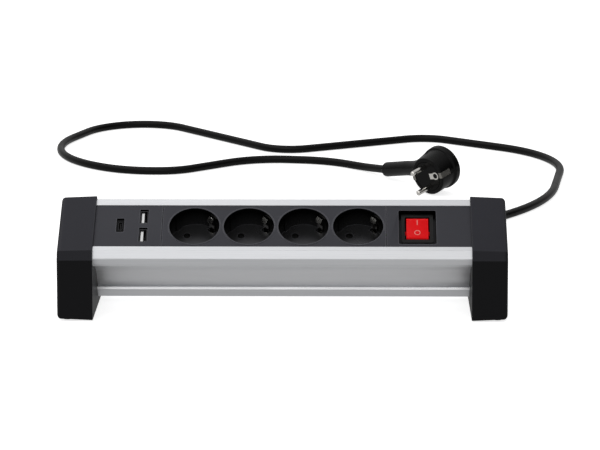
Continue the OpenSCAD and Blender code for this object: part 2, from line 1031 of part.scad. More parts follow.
// One lead per pole: cord to switch, and switch to bus bar. The live one turns off later and higher
// than the neutral one, so that they run side by side.
module pole_leads(side) {
    pole_x = switch_centre[0] + side * pole_offset;
    start = lead_start + [side * 1.5, 0, 0.8];
    turn_off = start + (side > 0 ? [0, -6, 1.5] : [0, -2.5, -0.5]);
    blade_end = switch_bottom - 8.4;
    middle_blade = [pole_x, switch_centre[1], blade_end];
    front_blade = [pole_x, switch_centre[1] - 7, blade_end];
    between_blades = [switch_centre[0] - pole_offset, switch_centre[1] - 3.5, blade_end - 4];
    bar_b = side * bar_offset;
    lead([start, turn_off, [pole_x, lead_y, 17 + side * 3],
        from_face(middle_blade + [0, 0, -6]), from_face(middle_blade)], lead_radius);
    lead(concat([from_face(front_blade), from_face(front_blade + [0, 0, -4])],
        side > 0 ? [from_face(between_blades)] : [],
        [from_face([switch_seam + 4, bar_b, -39]), from_face([switch_seam + 1, bar_b, -34])]), lead_radius);
}

module live_leads() {
    color("saddlebrown")
        pole_leads(1);
}

module neutral_leads() {
    color("royalblue")
        pole_leads(-1);
}

module earth_lead() {
    start = lead_start + [0, 0, -1.6];
    rail_end = [switch_seam - 3.9, earth_rail_offset, earth_rail_top - earth_rail_height / 2];
    color("yellowgreen")
        lead([start, start + [0, -3, -1], [switch_seam + 10, 26, 13], [switch_seam + 6, 24, 48],
            from_face(rail_end + [8, 0, 0]), from_face(rail_end)], lead_radius);
}

// ---------- Cord ----------

desk_y = base_depth / 2;
cord_rest = cord_radius;

// Turns about the axes, as matrices
function turn_x(a) = [[1, 0, 0], [0, cos(a), -sin(a)], [0, sin(a), cos(a)]];
function turn_y(a) = [[cos(a), 0, sin(a)], [0, 1, 0], [-sin(a), 0, cos(a)]];
function turn_z(a) = [[cos(a), -sin(a), 0], [sin(a), cos(a), 0], [0, 0, 1]];

// The plug lies on its side, so that its front and its flange touch the desk
plug_front_radius = 18.4;
plug_flange_radius = 20.4;
plug_depth = 25;
plug_lean = 11.7;
plug_roll = -11.9;
plug_front = [124.8, 396.2, plug_front_radius * cos(plug_lean) + 0.05];
arm_back = 15;
arm_angle = 11.4;
arm_length = 82;
arm_radius = 6.9;
arm_reach = arm_length + 0.7;
arm_end = plug_front + turn_z(plug_heading) * turn_x(plug_lean) * turn_y(plug_roll)
    * [-arm_reach * cos(arm_angle), arm_back + arm_reach * sin(arm_angle), 0];

// Corner points of the cord, each inner one with the radius of its bend: the cord leaves the cap,
// drops to the desk and lies in a wide loop behind the strip before it rises into the plug
cord_points = [
    [rim_x + gland_x, cord_end_y, gland_height],
    [rim_x + gland_x, desk_y + 58, gland_height],
    [159, 260, cord_rest],
    [236, 358, cord_rest],
    [265, 555, cord_rest],
    [131, 647, cord_rest],
    [-16, 577, cord_rest],
    [-154, 731, cord_rest],
    [-210, 690, cord_rest],
    [-262, 560, cord_rest],
    [-162, 483, cord_rest],
    [-112, 486, cord_rest],
    [-40, 543, cord_rest],
    [33, 532, cord_rest],
    [66, 504, cord_rest],
    arm_end
];
cord_bends = [60, 150, 228, 117, 42, 39, 55, 62, 120, 88, 50, 77, 88, 110];

module power_cord() {
    color("black")
        bent_bar(cord_points, cord_bends, cord_radius);
}

// ---------- Plug ----------

arm_root_radius = 11;
arm_root_length = 44;
groove_bottom = 16.9;
groove_length = 13;
clip_half = 2.6;

// Frame of the plug: the pins leave along -Y, the arm along -X
module at_plug() {
    translate(plug_front)
        rotate([0, 0, plug_heading])
            rotate([plug_lean, 0, 0])
                rotate([0, plug_roll, 0])
                    children();
}

// Solids drawn with the pins along +Z and the arm along -X
module out_of_plug() {
    at_plug()
        rotate([90, 0, 0])
            children();
}

module plug_body() {
    color("black")
        out_of_plug()
            difference() {
                union() {
                    rod(plug_front_radius, -18, 0);
                    rod(plug_flange_radius, -plug_depth, -16);
                    translate([0, 0, -arm_back])
                        rotate([0, -90 - arm_angle, 0]) {
                            cylinder(r = arm_radius, h = arm_length);
                            cylinder(r1 = arm_root_radius, r2 = arm_radius - 0.1, h = arm_root_length);
                        }
                }
                rod(14.5, -2, 1);
                for (side = [0, 1])
                    mirror([side, 0, 0])
                        block([groove_bottom, plug_front_radius + 1], [-clip_half - 0.2, clip_half + 0.2],
                            [-groove_length, 1]);
            }
}

module plug_pin_carrier() {
    color("darkgray")
        out_of_plug()
            rod(14, -1.9, -0.1);
}

module plug_pins() {
    color("silver")
        out_of_plug()
            for (side = [-1, 1])
                translate([0, side * pin_offset, 0]) {
                    rod(pin_radius, 0, pin_length - 1);
                    translate([0, 0, pin_length - 1])
                        cylinder(r1 = pin_radius, r2 = pin_radius - 0.8, h = 1);
                }
}

module plug_earth_clips() {
    color("silver")
        out_of_plug()
            for (side = [0, 1])
                mirror([side, 0, 0])
                    union() {
                        block([groove_bottom + 0.1, groove_bottom + 0.9], [-clip_half, clip_half],
                            [0.1 - groove_length, 0.3]);
                        block([14.7, groove_bottom + 0.9], [-clip_half, clip_half], [0.05, 0.45]);
                    }
}

// Round socket for an earth pin, with the strip that joins it to the clips
module plug_earth_tube() {
    tube_x = 10;
    color("silver")
        out_of_plug()
            difference() {
                union() {
                    translate([tube_x, 0, 0])
                        rod(3.6, 0, 0.6);
                    block([tube_x - 7, tube_x], [-2.8, 2.8], [0, 0.4]);
                }
                translate([tube_x, 0, 0])
                    rod(2.4, -1, 2);
            }
}

// ---------- Assembly ----------

aluminium_profile();
left_end_cap();
right_end_cap();
end_cap_screws();
rubber_feet();
cable_gland();
cord_clamp();
cord_clamp_screws();
usb_plate();
usb_housing();
usb_a_shells();
usb_a_tongues();
usb_c_shell();
usb_c_tongue();
usb_circuit_board();
usb_transformer();
usb_capacitors();
socket_block();
socket_rear_cover();
rear_cover_screws();
live_bus_bar();
neutral_bus_bar();
earth_bus_bar();
shutter(0);  // shutter_1
shutter(1);  // shutter_2
shutter(2);  // shutter_3
shutter(3);  // shutter_4
shutter_springs();
switch_plate();
switch_housing();
switch_rocker();
rocker_plungers();
contact_levers();
switch_terminals();
neon_lamp();
live_leads();
neutral_leads();
earth_lead();
power_cord();
plug_body();
plug_pin_carrier();
plug_pins();
plug_earth_clips();
plug_earth_tube();
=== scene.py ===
"""Desk power strip: looks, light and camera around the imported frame. All lengths are in metres."""

import json
import math

import bmesh
import bpy
from mathutils import Matrix, Vector


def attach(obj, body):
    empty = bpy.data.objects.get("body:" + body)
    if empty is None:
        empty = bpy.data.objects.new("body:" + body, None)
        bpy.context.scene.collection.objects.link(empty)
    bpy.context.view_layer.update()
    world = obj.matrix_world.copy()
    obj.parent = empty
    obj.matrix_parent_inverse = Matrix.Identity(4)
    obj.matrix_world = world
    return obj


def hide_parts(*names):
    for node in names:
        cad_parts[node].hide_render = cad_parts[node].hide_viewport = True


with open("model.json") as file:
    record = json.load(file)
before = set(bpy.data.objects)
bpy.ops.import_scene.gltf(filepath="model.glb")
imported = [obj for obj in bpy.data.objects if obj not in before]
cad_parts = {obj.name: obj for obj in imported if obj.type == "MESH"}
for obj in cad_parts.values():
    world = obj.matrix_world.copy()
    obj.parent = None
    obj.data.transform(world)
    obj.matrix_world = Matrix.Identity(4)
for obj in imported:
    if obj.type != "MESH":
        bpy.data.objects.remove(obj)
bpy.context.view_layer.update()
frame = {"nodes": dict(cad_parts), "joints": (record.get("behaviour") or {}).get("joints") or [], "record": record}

MM = 0.001
record = frame["record"]
nodes = frame["nodes"]
joints = {joint["name"]: joint for joint in frame["joints"]}
mounts = {mount["name"]: mount for mount in record["mounts"]}

# How far a socket's mount stands out of the plates' surface
MOUNT_RISE = 0.25 * MM

# The socket face: its normal, the directions along and up it, and a point on the plates' surface
socket_mount = mounts["socket_1"]
face_normal = Vector(socket_mount["axis"])
along = Vector((1, 0, 0))
up_face = face_normal.cross(along)
recess_depth = socket_mount["dims"]["length_mm"] * MM
face_point = Vector(socket_mount["pos_m"]) + face_normal * (recess_depth / 2 - MOUNT_RISE)


# ---------- Material graphs ----------

# Samples of the rounding that finds the edges of a surface
EDGE_SAMPLES = 4


class Paint:
    """The node graph of one material. Most methods add a few nodes and return their output."""

    def __init__(self, name):
        self.material = bpy.data.materials.new(name)
        self.material.use_nodes = True
        self.tree = self.material.node_tree
        self.shader = self.tree.nodes["Principled BSDF"]
        self.place = self.tree.nodes.new("ShaderNodeTexCoord").outputs["Object"]

    def add(self, kind, inputs, **settings):
        node = self.tree.nodes.new(kind)
        for name, value in settings.items():
            setattr(node, name, value)
        for name, value in inputs.items():
            self.plug(node.inputs[name], value)
        return node

    def plug(self, socket, value):
        if isinstance(value, bpy.types.NodeSocket):
            self.tree.links.new(value, socket)
        else:
            socket.default_value = value

    def stretched(self, scale, turn=(0, 0, 0)):
        """The object's coordinates, scaled along each axis."""
        node = self.add("ShaderNodeMapping", {"Vector": self.place, "Scale": scale, "Rotation": turn})
        return node.outputs["Vector"]

    def noise(self, scale, detail=2.0, roughness=0.5, place=None):
        node = self.add("ShaderNodeTexNoise", {"Vector": place or self.place, "Scale": scale,
                                               "Detail": detail, "Roughness": roughness})
        return node.outputs["Fac"]

    def cells(self, scale):
        node = self.add("ShaderNodeTexVoronoi", {"Vector": self.place, "Scale": scale})
        return node.outputs["Distance"]

    def remap(self, value, low, high, start=0.0, end=1.0):
        """value taken from start..end to low..high."""
        node = self.add("ShaderNodeMapRange", {"Value": value, "From Min": start, "From Max": end,
                                               "To Min": low, "To Max": high})
        return node.outputs["Result"]

    def mixed(self, share, first, second):
        """first where share is 0 and second where it is 1."""
        node = self.add("ShaderNodeMix", {}, data_type="RGBA")
        self.plug(node.inputs["Factor"], share)
        self.plug(node.inputs["A"], first)
        self.plug(node.inputs["B"], second)
        return node.outputs["Result"]

    def of_two(self, kind, operation, first, second):
        """A maths node of two inputs."""
        node = self.add(kind, {}, operation=operation)
        self.plug(node.inputs[0], first)
        self.plug(node.inputs[1], second)
        return node.outputs["Value"]

    def maths(self, operation, first, second=0.0):
        return self.of_two("ShaderNodeMath", operation, first, second)

    def dot(self, first, second):
        return self.of_two("ShaderNodeVectorMath", "DOT_PRODUCT", first, second)

    def surface_normal(self):
        return self.add("ShaderNodeNewGeometry", {}).outputs["Normal"]

    def vertical(self, vector):
        """The Z part of a vector."""
        return self.add("ShaderNodeSeparateXYZ", {"Vector": vector}).outputs["Z"]

    def upward(self, start, end):
        """0 on faces whose normal has a Z below start, 1 above end."""
        return self.remap(self.vertical(self.surface_normal()), 0.0, 1.0, start, end)

    def above(self, start, end):
        """0 below the height start over the desk and 1 above the height end."""
        return self.remap(self.vertical(self.place), 0.0, 1.0, start, end)

    def beneath(self, start, end):
        """1 below the height start over the desk and 0 above the height end."""
        return self.remap(self.vertical(self.place), 1.0, 0.0, start, end)

    def below_face(self, start, end):
        """0 at depth start below the socket face and 1 at depth end."""
        level = face_point.dot(face_normal)
        return self.remap(self.dot(self.place, face_normal), 0.0, 1.0, level - start, level - end)

    def edges(self, radius, gain):
        """1 along sharp edges and 0 on flat faces, within radius of an edge."""
        rounded = self.add("ShaderNodeBevel", {"Radius": radius}, samples=EDGE_SAMPLES).outputs["Normal"]
        away = self.maths("SUBTRACT", 1.0, self.dot(rounded, self.surface_normal()))
        limited = self.maths("MULTIPLY", away, gain)
        return self.maths("MINIMUM", limited, 1.0)

    def relief(self, height, depth, strength, under=None):
        """Bump of a given depth in metres, on top of the normal under."""
        inputs = {"Height": height, "Distance": depth, "Strength": strength}
        if under is not None:
            inputs["Normal"] = under
        return self.add("ShaderNodeBump", inputs).outputs["Normal"]

    def finish(self, **inputs):
        """Sets the shader's inputs, written with _ for spaces."""
        for name, value in inputs.items():
            self.plug(self.shader.inputs[name.replace("_", " ")], value)
        return self.material


def grey(level, blue=0.0):
    return (level, level, level * (1 + blue), 1.0)


def varied(paint, colour, spread, scale):
    """colour made a little lighter and darker over the surface."""
    darker = tuple(c * (1 - spread) for c in colour[:3]) + (1.0,)
    lighter = tuple(min(1.0, c * (1 + spread)) for c in colour[:3]) + (1.0,)
    return paint.mixed(paint.noise(scale, 3.0), darker, lighter)


# Heights over the desk: where the front rail turns into the hollow of the profile, and where the hollow
# ends. Each is a short range, over which one tone passes into the next; the lighter tones of the hollow and of the
# ledge are painted light.
LEDGE_HEIGHTS = (16.5 * MM, 17.5 * MM)
HOLLOW_TOP = (41.0 * MM, 43.0 * MM)


def anodised_aluminium():
    """Satin extrusion with drawing lines along it; the hollow is a little lighter as painted light, and the upward
    face of the ledge under it is lighter as a painted highlight.
    """
    paint = Paint("anodised_aluminium")
    draw_lines = paint.noise(900.0, 4.0, 0.65, paint.stretched((0.012, 1.0, 1.0)))
    satin = paint.noise(5200.0, 2.0, 0.6)
    clouds = paint.noise(9.0, 3.0)
    streaks = paint.remap(draw_lines, 0.0, 1.0, 0.35, 0.65)
    colour = paint.mixed(streaks, (0.725, 0.735, 0.76, 1), (0.795, 0.805, 0.825, 1))
    tone = paint.mixed(paint.remap(clouds, 0.0, 0.5, 0.35, 0.7), colour, (0.76, 0.765, 0.78, 1))
    rough = paint.maths("ADD", paint.remap(draw_lines, 0.36, 0.46, 0.3, 0.7), paint.remap(satin, -0.02, 0.03))
    # Painted light: the hollow of the profile is given a lighter tone.
    hollow = paint.maths("MULTIPLY", paint.above(*LEDGE_HEIGHTS), paint.beneath(*HOLLOW_TOP))
    tone = paint.mixed(hollow, tone, (0.855, 0.86, 0.875, 1))
    # Painted highlight: the upward face of the ledge is given a lighter tone.
    ledge_highlight = paint.maths("MULTIPLY", paint.beneath(*LEDGE_HEIGHTS), paint.upward(0.15, 0.35))
    tone = paint.mixed(ledge_highlight, tone, (0.91, 0.915, 0.925, 1))
    rough = paint.maths("ADD", rough, paint.maths("MULTIPLY", ledge_highlight, -0.12))
    normal = paint.relief(satin, 0.004 * MM, 0.5, paint.relief(draw_lines, 0.012 * MM, 0.6))
    return paint.finish(Base_Color=tone, Metallic=0.72, Roughness=rough, Normal=normal,
                        Anisotropic=0.35)


# Depth of the spark-eroded grain, and width of the line along an edge that is partly wear and partly painted
# highlight
GRAIN_DEPTH = 0.028 * MM
EDGE_WEAR_AND_HIGHLIGHT_WIDTH = 1.0 * MM

# Depths below the socket face: where a recess begins, where it is counted as deep, and where its floor is
RECESS_START = (0.25 * MM, 0.5 * MM)
RECESS_DEEP = (4 * MM, 16 * MM)
RECESS_FLOOR = (14 * MM, 16 * MM)

# Inside a recess the plastic is smoother than outside, and its gloss grows with depth
RECESS_SMOOTHNESS = 0.62
SHALLOW_SPECULAR = 0.08
DEEP_SPECULAR_GAIN = 0.42


def moulded_plastic(name, colour, dust_and_top_light, edge_wear_and_highlight_tone, wear, roughness, grain_size, specular, recess=None):
    """Injection-moulded plastic: spark-eroded grain; edges of upward faces lighter, partly polished by handling
    and partly a painted highlight (wear says how easily); and upward faces a little lighter, partly with dust and
    partly as painted top light. recess holds the colours of smooth surfaces just below the socket face and far
    below it: painted shade that makes the recess nearly black just below the face and lighter towards its floor,
    with a painted highlight along the edges near the floor."""
    paint = Paint(name)
    grain = paint.noise(1 / grain_size, 3.0, 0.6)
    pits = paint.cells(0.7 / grain_size)
    clouds = paint.noise(22.0, 3.0)
    # Lighter line along edges of upward faces: partly wear, partly painted highlight.
    wear_and_highlight = paint.maths("MULTIPLY", paint.edges(EDGE_WEAR_AND_HIGHLIGHT_WIDTH, wear), paint.upward(0.1, 0.5))
    base = varied(paint, colour, 0.10, 1.2 / grain_size)
    # Upward faces lighter: partly dust, partly painted top light.
    dust = paint.maths("MULTIPLY", paint.upward(0.1, 0.8), paint.remap(clouds, 0.85, 1.0, 0.3, 0.7))
    tone = paint.mixed(paint.maths("MULTIPLY", wear_and_highlight, 0.7), paint.mixed(dust, base, dust_and_top_light), edge_wear_and_highlight_tone)
    rough = paint.maths("ADD", paint.remap(clouds, roughness - 0.04, roughness + 0.04, 0.3, 0.7),
                        paint.maths("MULTIPLY", wear_and_highlight, -0.08))
    normal = paint.relief(grain, GRAIN_DEPTH, 0.8, paint.relief(pits, GRAIN_DEPTH, 0.35))
    if recess is not None:
        # Painted shade in the recess: nearly black just below the face, lighter towards the floor.
        below = paint.below_face(*RECESS_START)
        far = paint.below_face(*RECESS_DEEP)
        recess_shade_and_highlight = paint.mixed(far, *recess)
        # Painted highlight along the edges near the recess floor.
        floor_edge_highlight = paint.maths("MULTIPLY", wear_and_highlight, paint.below_face(*RECESS_FLOOR))
        recess_shade_and_highlight = paint.mixed(paint.maths("MULTIPLY", floor_edge_highlight, 0.5), recess_shade_and_highlight, edge_wear_and_highlight_tone)
        tone = paint.mixed(below, tone, recess_shade_and_highlight)
        rough = paint.maths("MULTIPLY", rough, paint.remap(below, 1.0, RECESS_SMOOTHNESS))
        specular = paint.maths("ADD", paint.remap(below, specular, SHALLOW_SPECULAR),
                               paint.remap(far, 0.0, DEEP_SPECULAR_GAIN))
    return paint.finish(Base_Color=tone, Roughness=rough, Normal=normal, Specular_IOR_Level=specular,
                        Specular_Tint=(0.90, 0.91, 1.0, 1))


def smooth_plastic(name, colour, roughness, coat=0.0, specular=0.5):
    """Smooth moulding: faint flow marks and fine scuffs."""
    paint = Paint(name)
    flow = paint.noise(60.0, 4.0, 0.6, paint.stretched((1.0, 0.4, 1.0)))
    scuffs = paint.noise(2600.0, 2.0, 0.6)
    tone = varied(paint, colour, 0.08, 90.0)
    rough = paint.maths("ADD", paint.remap(flow, roughness - 0.05, roughness + 0.05, 0.3, 0.7),
                        paint.remap(scuffs, -0.03, 0.03, 0.3, 0.7))
    normal = paint.relief(scuffs, 0.006 * MM, 0.4, paint.relief(flow, 0.05 * MM, 0.15))
    return paint.finish(Base_Color=tone, Roughness=rough, Normal=normal, Coat_Weight=coat,
                        Coat_Roughness=0.08, Specular_IOR_Level=specular)


def soft_pvc(name, colour, roughness, grain):
    """Flexible sheath or rubber: matt grain, slight bloom and a soft sheen."""
    paint = Paint(name)
    skin = paint.noise(1 / grain, 3.0, 0.55)
    bloom = paint.noise(35.0, 4.0, 0.6)
    dusty = tuple(min(1.0, c * 1.7) for c in colour[:3]) + (1.0,)
    tone = paint.mixed(paint.remap(bloom, 0.0, 0.7, 0.4, 0.75), colour, dusty)
    rough = paint.remap(bloom, roughness - 0.05, roughness + 0.07, 0.3, 0.7)
    normal = paint.relief(skin, 0.03 * MM, 0.35)
    return paint.finish(Base_Color=tone, Roughness=rough, Normal=normal, Specular_IOR_Level=0.16)


def plated_metal(name, colour, roughness, scratch=0.35):
    """Plated or bare metal with fine scratches and a tarnished tone in places."""
    paint = Paint(name)
    lines = paint.noise(2200.0, 4.0, 0.7, paint.stretched((1.0, 1.0, 0.06), (0.5, 0.4, 0.3)))
    stains = paint.noise(140.0, 4.0, 0.6)
    dull = tuple(c * 0.82 for c in colour[:3]) + (1.0,)
    tone = paint.mixed(paint.remap(stains, 0.0, 0.8, 0.45, 0.75), colour, dull)
    rough = paint.maths("ADD", paint.remap(stains, roughness, roughness + 0.12, 0.4, 0.75),
                        paint.remap(lines, -0.03, 0.05, 0.3, 0.7))
    normal = paint.relief(lines, 0.008 * MM, scratch)
    return paint.finish(Base_Color=tone, Metallic=1.0, Roughness=rough, Normal=normal)


def rocker_red():
    """Translucent red moulding that carries some of the light that falls into it, with a faint painted red glow.
    """
    paint = Paint("rocker_red")
    flow = paint.noise(120.0, 3.0)
    dust = paint.noise(3000.0, 2.0)
    tone = paint.mixed(flow, (0.74, 0.003, 0.005, 1), (0.86, 0.005, 0.008, 1))
    rough = paint.remap(dust, 0.26, 0.36, 0.3, 0.7)
    normal = paint.relief(dust, 0.003 * MM, 0.4, paint.relief(flow, 0.05 * MM, 0.2))
    # Painted glow: a faint red emission, though no lamp is behind the rocker.
    return paint.finish(Base_Color=tone, Roughness=rough, Normal=normal, Specular_IOR_Level=0.12,
                        Emission_Color=(0.9, 0.003, 0.008, 1), Emission_Strength=0.10,
                        Subsurface_Weight=0.25, Subsurface_Scale=1.5 * MM,
                        Subsurface_Radius=(1.0, 0.15, 0.1))


def worn_paint():
    """Thin white print that lets the red under it show through."""
    paint = Paint("mark_paint")
    wear = paint.noise(900.0, 3.0, 0.6)
    tone = paint.mixed(paint.remap(wear, 0.0, 1.0, 0.35, 0.7), (1.0, 0.40, 0.36, 1), (0.95, 0.18, 0.16, 1))
    return paint.finish(Base_Color=tone, Roughness=paint.remap(wear, 0.35, 0.5),
                        Normal=paint.relief(wear, 0.01 * MM, 0.3), Specular_IOR_Level=0.3)


def lamp_glass():
    """Small drawn glass bulb, slightly uneven."""
    paint = Paint("lamp_glass")
    ripple = paint.noise(400.0, 3.0)
    return paint.finish(Base_Color=(0.95, 0.6, 0.35, 1), Roughness=paint.remap(ripple, 0.02, 0.1),
                        Normal=paint.relief(ripple, 0.02 * MM, 0.3), Transmission_Weight=0.85)


FINISHES = {
    "anodised_aluminium": anodised_aluminium,
    # Edge tone: wear and painted highlight; dust colour: dust and painted top light.
    "cap_plastic": lambda: moulded_plastic(
        "cap_plastic", grey(0.0055), dust_and_top_light=grey(0.028, 0.25), edge_wear_and_highlight_tone=grey(0.060, 0.1), wear=40.0,
        roughness=0.42, grain_size=0.45 * MM, specular=0.15),
    # The recess pair paints shade into the sockets: nearly black just below the face, lighter at the floor.
    "module_plastic": lambda: moulded_plastic(
        "module_plastic", grey(0.017, 0.3), dust_and_top_light=grey(0.020, 0.3), edge_wear_and_highlight_tone=grey(0.120, 0.1), wear=30.0,
        roughness=0.46, grain_size=0.40 * MM, specular=0.42, recess=(grey(0.001), grey(0.015))),
    "black_plastic": lambda: smooth_plastic("black_plastic", grey(0.003), 0.42, specular=0.2),
    "plug_plastic": lambda: soft_pvc("plug_plastic", grey(0.0014), 0.26, 0.5 * MM),
    "cord_pvc": lambda: soft_pvc("cord_pvc", grey(0.002), 0.30, 0.4 * MM),
    "foot_rubber": lambda: soft_pvc("foot_rubber", grey(0.016), 0.70, 0.3 * MM),
    "rocker_red": rocker_red,
    "white_plastic": lambda: smooth_plastic("white_plastic", grey(0.92), 0.35),
    # Painted shade: the port shells are near-black steel, so the openings read dark.
    "port_steel": lambda: plated_metal("port_steel", (0.06, 0.06, 0.065, 1), 0.34),
    "nickel_plate": lambda: plated_metal("nickel_plate", (0.84, 0.82, 0.78, 1), 0.12, scratch=0.2),
    # Painted shade: a darkened steel for the plug's earth clips, which sit deep in their grooves.
    "shaded_clip_steel": lambda: plated_metal("shaded_clip_steel", (0.30, 0.29, 0.27, 1), 0.24, scratch=0.2),
    "screw_steel": lambda: plated_metal("screw_steel", (0.66, 0.66, 0.67, 1), 0.28),
    "contact_brass": lambda: plated_metal("contact_brass", (0.80, 0.58, 0.25, 1), 0.24),
    "board_green": lambda: smooth_plastic("board_green", (0.015, 0.14, 0.04, 1), 0.3, coat=0.4),
    "winding_tape": lambda: smooth_plastic("winding_tape", (0.75, 0.48, 0.06, 1), 0.3, coat=0.3),
    "capacitor_sleeve": lambda: smooth_plastic("capacitor_sleeve", (0.015, 0.022, 0.10, 1), 0.25, coat=0.4),
    "lamp_glass": lamp_glass,
    "lead_brown": lambda: soft_pvc("lead_brown", (0.15, 0.055, 0.02, 1), 0.42, 0.4 * MM),
    "lead_blue": lambda: soft_pvc("lead_blue", (0.02, 0.09, 0.42, 1), 0.42, 0.4 * MM),
    "lead_green": lambda: soft_pvc("lead_green", (0.14, 0.36, 0.03, 1), 0.42, 0.4 * MM),
}
materials = {slot: make() for slot, make in FINISHES.items()}


# ---------- CAD nodes ----------

# Radius of the moulded or broken edges of each node that shows, in millimetres
EDGE_RADIUS = {
    "aluminium_profile": 0.12, "socket_block": 0.4, "usb_plate": 0.4, "switch_plate": 0.4,
    "switch_housing": 0.3, "switch_rocker": 0.5, "usb_a_shells": 0.1, "usb_c_shell": 0.1,
    "usb_a_tongues": 0.2, "earth_bus_bar": 0.1, "cable_gland": 0.4, "cord_clamp": 0.4,
    "rubber_feet": 0.2, "plug_pins": 0.25, "plug_earth_tube": 0.1, "plug_earth_clips": 0.1,
    "left_end_cap": 0.2, "right_end_cap": 0.2,
}
SHARP_ANGLE = math.radians(32)
WELD_DISTANCE = 0.002 * MM


def soften(piece, radius):
    """Rounds the sharp edges of a piece by a small bevel, without touching its own mesh."""
    weld = piece.modifiers.new("weld", "WELD")
    weld.merge_threshold = WELD_DISTANCE
    bevel = piece.modifiers.new("edges", "BEVEL")
    bevel.width = radius
    bevel.segments = 3
    bevel.limit_method = "ANGLE"
    bevel.angle_limit = SHARP_ANGLE
    bevel.use_clamp_overlap = True
    bevel.harden_normals = True
    bevel.miter_outer = "MITER_ARC"


# Nodes whose finish differs from that of their material slot: the plug's earth clips get a darkened steel, painted
# shade of the grooves they sit in
SPECIAL_FINISH = {"plug_earth_clips": "shaded_clip_steel"}


def dress_nodes():
    """Gives every CAD node its finish, and small rounded edges to those that show."""
    for part in record["subparts"]:
        piece = nodes[part["node"]]
        finish = SPECIAL_FINISH.get(part["node"], part["material_slot"])
        piece.data.materials.clear()
        piece.data.materials.append(materials[finish])
        if part["node"] in EDGE_RADIUS:
            soften(piece, EDGE_RADIUS[part["node"]] * MM)


dress_nodes()


# ---------- Pieces built here ----------

def axes_at(origin, x, y):
    """Matrix of a frame with these X and Y directions."""
    z = x.cross(y)
    rotation = Matrix((x, y, z)).transposed().to_4x4()
    return Matrix.Translation(origin) @ rotation


def place_in_scene(name, data):
    """A new object around the data, in the scene."""
    placed = bpy.data.objects.new(name, data)
    bpy.context.scene.collection.objects.link(placed)
    return placed


def object_from(name, shape, place):
    """Mesh object made from a bmesh drawn in the frame place."""
    bmesh.ops.recalc_face_normals(shape, faces=shape.faces)
    mesh = bpy.data.meshes.new(name)
    shape.to_mesh(mesh)
    shape.free()
    mesh.transform(place)
    return place_in_scene(name, mesh)


def add_piece(name, shape, place, slot, body):
    """Mesh object with the material of a slot, which rides on a body."""
    piece = object_from(name, shape, place)
    piece.data.materials.append(materials[slot])
    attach(piece, body)
    return piece


def bridge(shape, rings, closed=False):
    """Faces between rings of the same number of vertices; closed joins the last ring to the first."""
    pairs = list(zip(rings, rings[1:]))
    if closed:
        pairs.append((rings[-1], rings[0]))
    for first, second in pairs:
        for i in range(len(first)):
            k = (i + 1) % len(first)
            shape.faces.new((first[i], first[k], second[k], second[i]))


def tube(shape, rings):
    """Solid between rings of vertices, closed at its first and last ring."""
    bridge(shape, rings)
    shape.faces.new(rings[0])
    shape.faces.new(rings[-1])


def angles_around(steps, offset=0.0):
    """Angles of a full turn in equal steps; offset is in steps."""
    return [2 * math.pi * (i + offset) / steps for i in range(steps)]


def turned(shape, outline, steps):
    """Solid of revolution about Z from an outline of (radius, height)."""
    rings = []
    for radius, height in outline:
        rings.append([shape.verts.new((radius * math.cos(a), radius * math.sin(a), height))
                      for a in angles_around(steps)])
    tube(shape, rings)


# ---------- Rocker marks ----------

tilt_joint = joints["rocker_tilt"]
rocker_tilt = -math.radians(tilt_joint["range_deg"][0]) / 2
rocker_frame = axes_at(Vector(tilt_joint["pos_m"]), along, up_face) @ Matrix.Rotation(rocker_tilt, 4, "X")

# The hollow top of the rocker is part of a large cylinder along the strip
SCOOP_RADIUS = 90.0 * MM
SCOOP_CENTRE = 96.4 * MM

# Height of the marks over the rocker, how deep they reach into it, and the rounding of their edges
MARK_HEIGHT = 0.06 * MM
MARK_ROOT = 0.25 * MM
MARK_EDGE = 0.12 * MM

# The ring of the O, whose centre is in front of the pivot, and the bar of the I behind it
RING_Y = -3.6 * MM
RING_OUTER = 2.4 * MM
RING_INNER = 1.78 * MM
BAR_Y = 6.1 * MM
BAR_RADIUS = 0.42 * MM
BAR_STRAIGHT = 2.0 * MM
BAR_CORE = 0.05 * MM
LOOP_STEPS = 48


def scoop_height(y):
    """Height over the pivot of the rocker's hollow top."""
    return SCOOP_CENTRE - math.sqrt(SCOOP_RADIUS ** 2 - y ** 2)


mark_paint = worn_paint()


def raised_mark(name, loops):
    """Raised mark on the rocker from closed loops of (x, y), each at its own height over the surface."""
    shape = bmesh.new()
    rings = []
    for loop, lift in loops:
        rings.append([shape.verts.new((x, y, scoop_height(y) + lift)) for x, y in loop])
    bridge(shape, rings, closed=True)
    piece = add_piece(name, shape, rocker_frame, "rocker_red", "rocker")
    piece.data.materials[0] = mark_paint
    piece.data.shade_smooth()


def oval(radius, centre_y, straight):
    """Loop of two half rounds joined by straight sides of length 2 * straight."""
    points = []
    for a in angles_around(LOOP_STEPS, 0.5):
        shift = straight if math.sin(a) > 0 else -straight
        points.append((radius * math.cos(a), centre_y + shift + radius * math.sin(a)))
    return points


